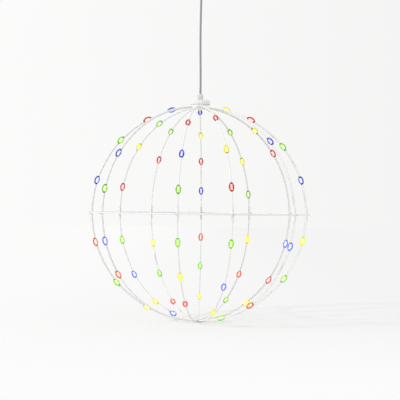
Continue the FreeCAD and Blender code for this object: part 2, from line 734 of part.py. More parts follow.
# Ceiling cover: a straight rim and a cone down to the floor that holds the swivel cup
floor_radius = rose_floor_diameter / 2
cup_hole = cup_outer + running_fit
cone_slope = math.atan2(rose_depth - rose_straight_rim, rose_diameter / 2 - floor_radius)
cone_shift = rose_wall * math.tan((math.pi / 2 - cone_slope) / 2)
floor_shift = rose_wall * math.tan(cone_slope / 2)
cover = turned([
    (rose_diameter / 2, -rose_ceiling_gap), (rose_diameter / 2, -rose_straight_rim),
    (floor_radius, -rose_depth), (cup_hole, -rose_depth), (cup_hole, -rose_depth + rose_wall),
    (floor_radius - floor_shift, -rose_depth + rose_wall),
    (cover_inner, -rose_straight_rim + cone_shift), (cover_inner, -rose_ceiling_gap)])
cover = rounded_rim(cover, rose_diameter / 2, -rose_straight_rim, rose_rim_rounding)
cover = rounded_rim(cover, floor_radius, -rose_depth, rose_wall)

# Screws through the cover's rim into the plate's skirt
cover_screws = []
depth = rose_diameter / 2 - plate_radius + rose_skirt_wall
for side in (-1, 1):
    outside = Vector(0, side * rose_diameter / 2, -cover_screw_below_ceiling)
    inward = Vector(0, -side, 0)
    outer_end = outside - inward * cut_past
    hole = Part.makeCylinder(cover_screw_diameter / 2 + push_fit, 2 * depth, outer_end, inward)
    cover = cover.cut(hole)
    plate = plate.cut(hole)
    shank = Part.makeCylinder(cover_screw_diameter / 2, depth, outside, inward)
    head = Part.makeCylinder(cover_screw_head_diameter / 2, cover_screw_head_height, outside, inward * -1)
    cover_screws.append(shank.fuse(head))
export("ceiling_plate", plate)
export("ceiling_cover", cover)
export("cover_screws", cover_screws)
print("globe centre %.3f, foot bottom %.3f, ball centre %.3f" % (globe_centre, foot_bottom, ball_centre))
print("gland nut top %.3f, cap top %.3f, neck end %.3f" % (gland_nut_top, cap_top, neck_end))
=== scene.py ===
import logging
import math
from dataclasses import dataclass, field
from enum import Enum
from functools import cache

import bpy
import numpy as np
from mathutils import Matrix, Vector


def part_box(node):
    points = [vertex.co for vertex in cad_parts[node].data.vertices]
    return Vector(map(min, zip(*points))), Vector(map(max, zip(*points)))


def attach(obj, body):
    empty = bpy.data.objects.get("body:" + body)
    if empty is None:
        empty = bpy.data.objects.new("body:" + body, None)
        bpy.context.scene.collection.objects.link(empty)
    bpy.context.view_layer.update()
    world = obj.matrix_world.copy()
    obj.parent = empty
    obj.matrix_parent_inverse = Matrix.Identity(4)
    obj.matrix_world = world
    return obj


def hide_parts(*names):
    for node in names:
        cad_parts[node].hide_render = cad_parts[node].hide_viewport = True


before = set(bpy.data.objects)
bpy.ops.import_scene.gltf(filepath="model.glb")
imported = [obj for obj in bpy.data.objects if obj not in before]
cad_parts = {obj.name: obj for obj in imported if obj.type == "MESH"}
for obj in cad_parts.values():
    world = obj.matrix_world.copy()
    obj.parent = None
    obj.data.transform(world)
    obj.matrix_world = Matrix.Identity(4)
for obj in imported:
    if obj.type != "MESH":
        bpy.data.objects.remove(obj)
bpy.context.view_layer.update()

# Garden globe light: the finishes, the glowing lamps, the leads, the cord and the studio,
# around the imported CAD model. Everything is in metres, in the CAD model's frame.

log = logging.getLogger("garden_globe_light")

Colour = tuple[float, float, float]
Socket = bpy.types.NodeSocket
Value = float | tuple | Socket
PENDANT = "pendant"
MILLIMETRES = 1000.0

# What all finishes share: how fine and how strong their soil, scuffs, relief and gloss are
NOISE_LOW, NOISE_HIGH = 0.25, 0.75
SOIL_GRAIN, SOIL_DARK, SOIL_LIGHT = 7.0, 0.95, 1.03
SCUFF_GRAIN = 3.0
FINISH_BUMP, COVER_BUMP = 0.8, 0.6
COAT_ROUGHNESS = 0.12

# How the fine surfaces differ: grain, waver of their lines, shares of their layers
PEEL_COARSER, DRAWN_FINER, DRAWN_STRETCH = 3, 2, 0.02
TURNED_WAVER, WOVEN_WAVER = 1.5, 0.2
SOFT_SHARES, TURNED_SHARES = (0.7, 0.3), (0.6, 1.0)


class LampColour(Enum):
    """The colours of the clear lamp covers."""

    RED = "red"
    GREEN = "green"
    BLUE = "blue"
    YELLOW = "yellow"


class Texture(Enum):
    """What kind of fine surface a finish has."""

    PEEL = "peel"
    MOULDED = "moulded"
    TURNED = "turned"
    DRAWN = "drawn"
    WOVEN = "woven"


class Nodes:
    """A short way to add nodes to a node tree and to link them."""

    def __init__(self, tree: bpy.types.NodeTree) -> None:
        """Work on this tree, which gets the nodes."""
        self.tree = tree

    def add(self, kind: str, inputs: dict | None = None, **settings: str) -> bpy.types.Node:
        """Add a node.

        Args:
            kind: The node's type name.
            inputs: Values or sockets for its inputs, by name or number.
            settings: Properties of the node itself.

        Returns:
            The new node.
        """
        node = self.tree.nodes.new(kind)
        for name, value in settings.items():
            setattr(node, name, value)
        for key, value in (inputs or {}).items():
            if isinstance(value, Socket):
                self.tree.links.new(value, node.inputs[key])
            else:
                node.inputs[key].default_value = value
        return node

    def maths(self, operation: str, first: Value, second: Value = 0.0) -> Socket:
        """Work out one number from two with a Math node, and give its socket."""
        return self.add("ShaderNodeMath", {0: first, 1: second}, operation=operation).outputs[0]

    def vector(
        self, operation: str, first: Value, second: Value | None = None,
        scale: Value | None = None,
    ) -> Socket:
        """Work out one vector.

        Args:
            operation: The Vector Math node's operation.
            first: A vector or a socket.
            second: A second vector or socket, where the operation has one.
            scale: A number or a socket, where the operation has one.

        Returns:
            The result's socket.
        """
        inputs = {0: first}
        if second is not None:
            inputs[1] = second
        if scale is not None:
            inputs["Scale"] = scale
        return self.add("ShaderNodeVectorMath", inputs, operation=operation).outputs[0]

    def blend(self, share: Value, first: Value, second: Value) -> Socket:
        """Mix two colours, with this share of the second, and give the mixed one's socket."""
        inputs = {0: share, 6: first, 7: second}
        return self.add("ShaderNodeMix", inputs, data_type="RGBA").outputs[2]

    def layers(self, coarse: Value, fine: Value, shares: tuple[float, float]) -> Socket:
        """Lay a fine relief over a coarse one.

        Args:
            coarse: The coarse relief's height.
            fine: The fine relief's height.
            shares: How much there is of each.

        Returns:
            The height of both together.
        """
        coarse = self.maths("MULTIPLY", coarse, shares[0])
        fine = self.maths("MULTIPLY", fine, shares[1])
        return self.maths("ADD", coarse, fine)

    def spread(self, value: Socket, low: float, high: float) -> Socket:
        """Stretch a noise texture's usual values over a range.

        Args:
            value: The texture's socket.
            low: What NOISE_LOW becomes.
            high: What NOISE_HIGH becomes.

        Returns:
            The stretched value's socket.
        """
        inputs = {
            "Value": value, "From Min": NOISE_LOW, "From Max": NOISE_HIGH,
            "To Min": low, "To Max": high}
        return self.add("ShaderNodeMapRange", inputs).outputs[0]

    def noise(
        self, place: Socket, scale: float, detail: float = 3.0, rough: float = 0.55,
    ) -> Socket:
        """A noise texture's value: grains in a metre, finer layers and how strong those are."""
        inputs = {"Vector": place, "Scale": scale, "Detail": detail, "Roughness": rough}
        return self.add("ShaderNodeTexNoise", inputs).outputs[0]


def start_material(name: str) -> tuple[bpy.types.Material, Nodes]:
    """Make a material with no nodes yet.

    Args:
        name: The material's name.

    Returns:
        The material, and its nodes to add to.
    """
    material = bpy.data.materials.new(name)
    material.use_nodes = True
    material.node_tree.nodes.clear()
    return material, Nodes(material.node_tree)


@dataclass(frozen=True)
class Finish:
    """A finish whose colour, roughness and fine relief all vary over the surface.

    Attributes:
        name: The material's name.
        colour: The main colour.
        shade: The colour that the patches turn to.
        patch: Patches in a metre.
        rough: Lowest and highest roughness.
        grain: Grains of the fine relief in a metre.
        relief: Height of the fine relief in metres.
        texture: The kind of fine surface.
        metal: 1 for bare metal.
        coat: Clear gloss on top, from 0 to 1.
        glow: Light given off by the surface itself.
        light_of: The attribute that gives that light's colour, or nothing for the finish's own.
    """

    name: str
    colour: Colour
    shade: Colour
    patch: float
    rough: tuple[float, float]
    grain: float
    relief: float
    texture: Texture = Texture.MOULDED
    metal: float = 0.0
    coat: float = 0.0
    glow: float = 0.0
    light_of: str = ""

    def relief_height(self, nodes: Nodes, place: Socket) -> Socket:
        """The fine relief, from 0 to 1.

        Args:
            nodes: The material's nodes.
            place: Where on the object the surface is.

        Returns:
            The height's socket.
        """
        fine = nodes.noise(place, self.grain, detail=4.0)
        if self.texture is Texture.PEEL:
            soft = nodes.noise(place, self.grain / PEEL_COARSER, detail=1.0)
            return nodes.layers(soft, fine, SOFT_SHARES)
        if self.texture is Texture.TURNED:
            rings = {
                "Vector": place, "Scale": self.grain, "Distortion": TURNED_WAVER, "Detail": 2.0}
            wave = nodes.add("ShaderNodeTexWave", rings, wave_type="RINGS", rings_direction="Z")
            return nodes.layers(wave.outputs[1], fine, TURNED_SHARES)
        if self.texture is Texture.DRAWN:
            stretch = {"Vector": place, "Scale": (1.0, 1.0, DRAWN_STRETCH)}
            along = nodes.add("ShaderNodeMapping", stretch).outputs[0]
            lines = nodes.noise(along, self.grain * DRAWN_FINER, detail=3.0)
            return nodes.layers(lines, fine, SOFT_SHARES)
        if self.texture is Texture.WOVEN:
            threads = []
            for direction in ("X", "Y"):
                inputs = {"Vector": place, "Scale": self.grain, "Distortion": WOVEN_WAVER}
                wave = nodes.add("ShaderNodeTexWave", inputs, bands_direction=direction)
                threads.append(wave.outputs[1])
            return nodes.maths("MAXIMUM", *threads)
        return fine

    @cache
    def make(self) -> bpy.types.Material:
        """Returns:
            The finish's material, made the first time and kept for later.
        """
        material, nodes = start_material(self.name)
        place = nodes.add("ShaderNodeTexCoord").outputs["Object"]
        patches = nodes.spread(nodes.noise(place, self.patch), 0.0, 1.0)
        clean = nodes.blend(patches, (*self.colour, 1), (*self.shade, 1))
        soil = nodes.noise(place, self.patch * SOIL_GRAIN, detail=5.0, rough=0.7)
        soil = nodes.spread(soil, SOIL_DARK, SOIL_LIGHT)
        colour = nodes.vector("SCALE", clean, scale=soil)
        scuffs = nodes.noise(place, self.patch * SCUFF_GRAIN, detail=4.0)
        scuffs = nodes.spread(scuffs, *self.rough)
        bump = nodes.add("ShaderNodeBump", {
            "Height": self.relief_height(nodes, place), "Distance": self.relief,
            "Strength": FINISH_BUMP})
        inputs = {
            "Base Color": colour, "Roughness": scuffs, "Normal": bump.outputs[0],
            "Metallic": self.metal, "Coat Weight": self.coat, "Coat Roughness": COAT_ROUGHNESS}
        if self.glow:
            inputs["Emission Color"] = colour
            inputs["Emission Strength"] = self.glow
        if self.light_of:
            light = nodes.add("ShaderNodeAttribute", attribute_name=self.light_of)
            inputs["Emission Color"] = light.outputs["Color"]
        shader = nodes.add("ShaderNodeBsdfPrincipled", inputs)
        nodes.add("ShaderNodeOutputMaterial", {"Surface": shader.outputs[0]})
        return material


@dataclass(frozen=True)
class ClearCover:
    """Tinted clear plastic: pale where it is looked straight through, deep at its edges.

    Attributes:
        colour: Which of the four colours it is.
        passed: Share of red, green and blue light left after a millimetre.
        glow: The light that its edge catches from the lamp inside.
        core: What the lamp's lit middle looks like through the cover.
        glow_strength: How strongly the edge gives that light off.
        bend: The plastic's refractive index.
        mirror: How much of the usual gloss its surface has, from 0 to 1.
        ripple: Ripples of the moulded surface in a metre.
        ripple_height: Their height in metres.
        scuff: Scuffs in a metre.
        rough: Lowest and highest roughness.
    """

    colour: LampColour
    passed: Colour
    glow: Colour
    core: Colour
    glow_strength: float = 0.3
    bend: float = 1.45
    mirror: float = 0.08
    ripple: float = 450.0
    ripple_height: float = 0.00003
    scuff: float = 900.0
    rough: tuple[float, float] = (0.02, 0.09)

    def light(self, wall: float) -> Colour:
        """The light inside that shows as the core through a wall of so many millimetres."""
        return tuple(seen / share ** wall for seen, share in zip(self.core, self.passed))

    def make(self) -> bpy.types.Material:
        """Returns:
            The cover's material.
        """
        material, nodes = start_material(self.colour.value + "_clear_plastic")
        place = nodes.add("ShaderNodeTexCoord").outputs["Object"]
        ripple = nodes.noise(place, self.ripple, detail=2.0)
        scuffs = nodes.spread(nodes.noise(place, self.scuff, detail=4.0), *self.rough)
        bump = nodes.add("ShaderNodeBump", {
            "Height": ripple, "Distance": self.ripple_height, "Strength": COVER_BUMP})
        own = nodes.add("ShaderNodeAttribute", attribute_name="glow").outputs["Fac"]
        light = nodes.vector("SCALE", self.glow, scale=own)
        shader = nodes.add("ShaderNodeBsdfPrincipled", {
            "Base Color": (1, 1, 1, 1), "Roughness": scuffs, "Normal": bump.outputs[0],
            "IOR": self.bend, "Transmission Weight": 1.0, "Specular IOR Level": self.mirror,
            "Emission Color": light, "Emission Strength": self.glow_strength})
        lost = [-math.log(share) * MILLIMETRES for share in self.passed]
        density = max(lost)
        tint = [1 - one / density for one in lost]
        body = nodes.add("ShaderNodeVolumeAbsorption", {"Color": (*tint, 1), "Density": density})
        nodes.add("ShaderNodeOutputMaterial", {
            "Surface": shader.outputs[0], "Volume": body.outputs[0]})
        return material


COATED_WIRE = Finish(
    "white_powder_coated_wire", (0.90, 0.90, 0.89), (0.87, 0.87, 0.855), 40.0, (0.3, 0.44),
    1500.0, 0.000012, Texture.PEEL, coat=0.1)
WHITE_MOULDING = Finish(
    "white_moulded_plastic", (0.89, 0.89, 0.88), (0.855, 0.855, 0.84), 90.0, (0.36, 0.5),
    1800.0, 0.00002)
HUB_PLASTIC = Finish(
    "white_hub_plastic", (0.90, 0.90, 0.89), (0.86, 0.86, 0.845), 70.0, (0.3, 0.45),
    1400.0, 0.00002)
GLAND_PLASTIC = Finish(
    "grey_gland_plastic", (0.72, 0.72, 0.70), (0.66, 0.66, 0.65), 120.0, (0.38, 0.5),
    2200.0, 0.00002)
CEILING_PLASTIC = Finish(
    "white_ceiling_plastic", (0.80, 0.80, 0.78), (0.76, 0.755, 0.73), 45.0, (0.25, 0.4),
    1100.0, 0.00002, coat=0.1)
SEAL_RUBBER = Finish(
    "grey_seal_rubber", (0.52, 0.52, 0.52), (0.46, 0.46, 0.455), 200.0, (0.6, 0.8),
    2600.0, 0.00004)
SCREW_STEEL = Finish(
    "plated_screw_steel", (0.62, 0.62, 0.63), (0.50, 0.50, 0.51), 300.0, (0.22, 0.4),
    1500.0, 0.00002, Texture.TURNED, metal=1.0)
CONTACT_BRASS = Finish(
    "drawn_contact_brass", (0.72, 0.52, 0.26), (0.58, 0.38, 0.18), 400.0, (0.25, 0.45),
    1800.0, 0.00002, Texture.DRAWN, metal=1.0)
TERMINAL_PLASTIC = Finish(
    "milky_terminal_plastic", (0.70, 0.70, 0.66), (0.62, 0.62, 0.57), 150.0, (0.4, 0.55),
    1600.0, 0.00002)
BOARD = Finish(
    "green_wiring_board", (0.02, 0.14, 0.06), (0.03, 0.19, 0.08), 200.0, (0.3, 0.45),
    900.0, 0.00002, Texture.WOVEN, coat=0.3)
CHIP_BLACK = Finish(
    "black_chip_resin", (0.02, 0.02, 0.021), (0.035, 0.035, 0.036), 300.0, (0.5, 0.65),
    4000.0, 0.00001)
CORD_SHEATH = Finish(
    "grey_cord_sheath", (0.33, 0.33, 0.33), (0.28, 0.28, 0.285), 80.0, (0.38, 0.52),
    900.0, 0.00004, Texture.DRAWN)
LEAD_SHEATH = Finish(
    "white_lead_sheath", (0.86, 0.86, 0.85), (0.81, 0.81, 0.79), 160.0, (0.35, 0.5),
    3000.0, 0.00001)
LIGHT_GUIDE = Finish(
    "frosted_light_guide", (0.95, 0.95, 0.93), (0.92, 0.92, 0.88), 300.0, (0.5, 0.6),
    2500.0, 0.00001, glow=1.0, light_of="light")
LIGHT_CHIP = Finish(
    "lit_chip", (1.0, 0.96, 0.80), (1.0, 0.92, 0.68), 900.0, (0.4, 0.5),
    3000.0, 0.00001, glow=4.0)

COVERS = {cover.colour: cover for cover in (
    ClearCover(LampColour.RED, (0.82, 0.10, 0.07), (0.40, 0.24, 0.13), (1.0, 0.88, 0.80)),
    ClearCover(LampColour.GREEN, (0.52, 0.86, 0.04), (0.10, 0.26, 0.0), (0.84, 1.0, 0.76)),
    ClearCover(LampColour.BLUE, (0.20, 0.25, 0.80), (0.34, 0.42, 0.60), (0.88, 0.90, 1.0)),
    ClearCover(LampColour.YELLOW, (0.97, 0.94, 0.06), (0.3, 0.28, 0.03), (1.0, 1.0, 0.64)),
)}

# Each finish, and how the names of the CAD nodes that get it begin
NODES_OF = {
    COATED_WIRE: ("upper_rib", "lower_rib", "equator_ring"),
    WHITE_MOULDING: ("ring_joints", "foot_collar", "foot_cap", "lamp_holders", "lamp_covers"),
    HUB_PLASTIC: ("hub_base", "hub_cap"),
    SEAL_RUBBER: ("hub_seal", "gland_seal"),
    GLAND_PLASTIC: ("gland_body", "gland_nut", "gland_locknut"),
    CEILING_PLASTIC: ("ceiling_cover", "ceiling_plate", "swivel_cup", "swivel_ball"),
    SCREW_STEEL: ("hub_screws", "foot_screw", "cover_screws", "grip_screw"),
    CONTACT_BRASS: ("terminal_screws", "cord_cores", "core_pads"),
    TERMINAL_PLASTIC: ("terminal_block",),
    BOARD: ("wiring_board",),
    CHIP_BLACK: ("driver_chip",),
    LIGHT_CHIP: ("light_chips",),
    LEAD_SHEATH: ("upper_leads", "lower_leads"),
    CORD_SHEATH: ("supply_cord",),
}


def dress_nodes() -> None:
    """Give every CAD node its finish."""
    for name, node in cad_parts.items():
        finish = next(one for one, starts in NODES_OF.items() if name.startswith(starts))
        for place in node.material_slots:
            place.material = finish.make()


def node_points(name: str) -> np.ndarray:
    """The different corners of a CAD node's mesh.

    Args:
        name: The node's name.

    Returns:
        One row for each corner, in metres.
    """
    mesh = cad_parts[name].data
    points = np.empty(len(mesh.vertices) * 3)
    mesh.vertices.foreach_get("co", points)
    return np.unique(points.reshape(-1, 3).round(7), axis=0)


def add_object(name: str, data: bpy.types.ID) -> bpy.types.Object:
    """Put new data into the scene.

    Args:
        name: The object's name.
        data: Its mesh, curve, camera or lamp.

    Returns:
        The new object.
    """
    piece = bpy.data.objects.new(name, data)
    bpy.context.scene.collection.objects.link(piece)
    return piece


def report(piece: bpy.types.Object) -> None:
    """Say in the log what was made.

    Args:
        piece: The finished piece.
    """
    if piece.type == "MESH":
        faces = sum(len(face.vertices) - 2 for face in piece.data.polygons)
        log.info("%s: %d triangles", piece.name, faces)
    else:
        log.info("%s: %s", piece.name, piece.type.lower())


class GeometryTree(Nodes):
    """A Geometry Nodes tree with named inputs, and the way to bake it into a plain mesh."""

    def __init__(self, name: str) -> None:
        """Args:
            name: The tree's name.
        """
        super().__init__(bpy.data.node_groups.new(name, "GeometryNodeTree"))
        self.keys: dict[str, str] = {}
        side = self.tree.interface
        side.new_socket("Geometry", in_out="INPUT", socket_type="NodeSocketGeometry")
        side.new_socket("Geometry", in_out="OUTPUT", socket_type="NodeSocketGeometry")
        self.inlet = self.tree.nodes.new("NodeGroupInput")

    def size(self, name: str, kind: str = "NodeSocketFloat") -> Socket:
        """Add a named input.

        Args:
            name: The input's name.
            kind: Its socket type.

        Returns:
            The socket that gives its value inside the tree.
        """
        item = self.tree.interface.new_socket(name, in_out="INPUT", socket_type=kind)
        self.keys[name] = item.identifier
        return self.inlet.outputs[name]

    def close(self, geometry: Socket) -> None:
        """End the tree in plain geometry with its material.

        Args:
            geometry: What the tree has made.
        """
        material = self.size("Finish", "NodeSocketMaterial")
        whole = self.add("GeometryNodeRealizeInstances", {"Geometry": geometry})
        dressed = self.add("GeometryNodeSetMaterial", {
            "Geometry": whole.outputs[0], "Material": material})
        self.add("NodeGroupOutput", {"Geometry": dressed.outputs[0]})

    def bake(self, source: bpy.types.Object, name: str, values: dict) -> bpy.types.Object:
        """Run the tree on an object and keep the result as a plain mesh.

        Args:
            source: The object that the tree works on; it is removed.
            name: The new piece's name.
            values: The named inputs' values.

        Returns:
            The finished piece.
        """
        modifier = source.modifiers.new(name, "NODES")
        modifier.node_group = self.tree
        for key, value in values.items():
            modifier[self.keys[key]] = value
        view = bpy.context.evaluated_depsgraph_get()
        made = source.evaluated_get(view)
        mesh = bpy.data.meshes.new_from_object(
            made, preserve_all_data_layers=True, depsgraph=view)
        mesh.name = name
        source.modifiers.clear()
        bpy.data.objects.remove(source)
        return add_object(name, mesh)


@dataclass
class GlobePlan:
    """Where the globe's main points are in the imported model.

    Attributes:
        centre: The globe's centre, level with the ring.
        foot_bottom: Height of the globe's lowest point.
        cord_low, cord_high: Heights of the cord's ends, in the hub and in the ceiling fitting.
        gland_top, neck_end: Where it leaves the gland's nut and enters the swivel's neck.
        wire_radius: How far the ribs' middle line is from the centre.
    """

    centre: Vector = field(init=False)
    foot_bottom: float = field(init=False)
    cord_low: float = field(init=False)
    cord_high: float = field(init=False)
    gland_top: float = field(init=False)
    neck_end: float = field(init=False)
    wire_radius: float = 0.2

    def __post_init__(self) -> None:
        """Read the heights from the CAD nodes' boxes."""
        low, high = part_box("equator_ring")
        self.centre = Vector((0, 0, (low.z + high.z) / 2))
        self.foot_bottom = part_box("foot_cap")[0].z
        self.cord_low, self.cord_high = (corner.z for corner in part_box("supply_cord"))
        self.gland_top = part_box("gland_nut")[1].z
        self.neck_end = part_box("swivel_ball")[0].z


@dataclass
class PhotographView:
    """The camera, at the photograph's viewing angle.

    Attributes:
        distance, above_centre: How far it is in front of and above the globe's centre.
        look_up, turn_right, roll: How it is tilted, turned and rolled.
        lens, sensor: Focal length and the sensor's width, in millimetres.
    """

    plan: GlobePlan
    distance: float = 2.0
    above_centre: float = 0.0143
    look_up: float = math.radians(0.308)
    turn_right: float = math.radians(0.046)
    roll: float = math.radians(0.63)
    lens: float = 96.17
    sensor: float = 36.0

    def build(self) -> None:
        """Make the camera and have the scene look through it."""
        data = bpy.data.cameras.new("photograph_view")
        data.sensor_width = self.sensor
        data.lens = self.lens
        camera = add_object("photograph_view", data)
        place = Matrix.Translation((0, -self.distance, self.plan.centre.z + self.above_centre))
        turn = Matrix.Rotation(-self.turn_right, 4, "Z")
        tilt = Matrix.Rotation(math.pi / 2 + self.look_up, 4, "X")
        camera.matrix_world = place @ turn @ tilt @ Matrix.Rotation(self.roll, 4, "Z")
        bpy.context.scene.camera = camera


@dataclass
class SupplyCord:
    """The taut round cord from the hub's gland up into the ceiling fitting.

    Attributes:
        diameter, length: Its real size, with the ends inside the hub and the fitting.
        sway_low, sway_high, sway_back: How far it strays to the side low and high, and back.
        diameter, length: Its real size, with the ends inside the hub and the fitting; the length
            is not used.
        bevel_steps, line_steps: How finely it is divided round and along.
    """

    plan: GlobePlan
    diameter: float = 0.0038
    length: float = 0.2185
    sway_low: float = 0.0005
    sway_high: float = -0.0010
    sway_back: float = 0.0002
    low_rise: float = 0.018
    high_rise: float = 0.105
    neck_drop: float = 0.025
    bevel_steps: int = 6
    line_steps: int = 16

    def build(self) -> bpy.types.Object:
        """Returns:
            The cord, as a bevelled curve.
        """
        plan = self.plan
        route = [
            (0.0, 0.0, plan.cord_low),
            (0.0, 0.0, plan.gland_top),
            (self.sway_low, 0.0, plan.gland_top + self.low_rise),
            (self.sway_high, self.sway_back, plan.gland_top + self.high_rise),
            (self.sway_high / 2, 0.0, plan.neck_end - self.neck_drop),
            (0.0, 0.0, plan.neck_end),
            (0.0, 0.0, plan.cord_high),
        ]
        data = bpy.data.curves.new("supply_cord_line", "CURVE")
        data.dimensions = "3D"
        data.bevel_depth = self.diameter / 2
        data.bevel_resolution = self.bevel_steps
        data.resolution_u = self.line_steps
        data.use_fill_caps = True
        line = data.splines.new("NURBS")
        line.points.add(len(route) - 1)
        for point, spot in zip(line.points, route):
            point.co = (*spot, 1.0)
        line.order_u = 3
        line.use_endpoint_u = True
        data.materials.append(CORD_SHEATH.make())
        cord = add_object("round_supply_cord", data)
        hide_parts("supply_cord")
        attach(cord, PENDANT)
        return cord


@dataclass
class RibLine:
    """The circle that one half of a rib follows round the globe's centre.

    Attributes:
        node: The half rib's CAD node.
        outward: From the centre to where the rib crosses the ring.
        along: From the centre to the globe's top or foot, whichever the half rib goes to.
        normal: Square to the rib's plane.
    """

    plan: GlobePlan
    node: str
    outward: np.ndarray = field(init=False)
    along: np.ndarray = field(init=False)
    normal: np.ndarray = field(init=False)

    def __post_init__(self) -> None:
        """Fit the circle's plane to the half rib's mesh."""
        points = node_points(self.node) - np.array(self.plan.centre)
        middle = points.mean(0)
        self.normal = np.linalg.svd(points, full_matrices=False)[2][2]
        outward = np.cross(self.normal, (0.0, 0.0, 1.0))
        outward /= np.linalg.norm(outward)
        self.outward = outward * np.sign(outward @ middle)
        along = np.cross(self.normal, self.outward)
        self.along = along * np.sign(along @ middle)

    def angles(self, points: np.ndarray, reach: float) -> np.ndarray:
        """The angles along the circle of those points that lie near it.

        Args:
            points: Points relative to the globe's centre.
            reach: How far from the circle's plane they may be.

        Returns:
            The angles in radians, counted from the ring.
        """
        near = points[(abs(points @ self.normal) < reach) & (points @ self.outward > 0)]
        near = near[near @ self.along > -reach]
        return np.arctan2(near @ self.along, near @ self.outward)

    def path(self, radius: float, first: float, last: float, steps: int) -> np.ndarray:
        """Points on the circle.

        Args:
            radius: How far they are from the globe's centre.
            first: The first one's angle.
            last: The last one's angle.
            steps: How many steps there are between them.

        Returns:
            One row for each point, in the model's frame.
        """
        turn = np.linspace(first, last, steps + 1)[:, None]
        centre = np.array(self.plan.centre)
        return centre + radius * (np.cos(turn) * self.outward + np.sin(turn) * self.along)


# A lamp's colour, its centre and how it is turned
Lamp = tuple[LampColour, np.ndarray, Matrix]


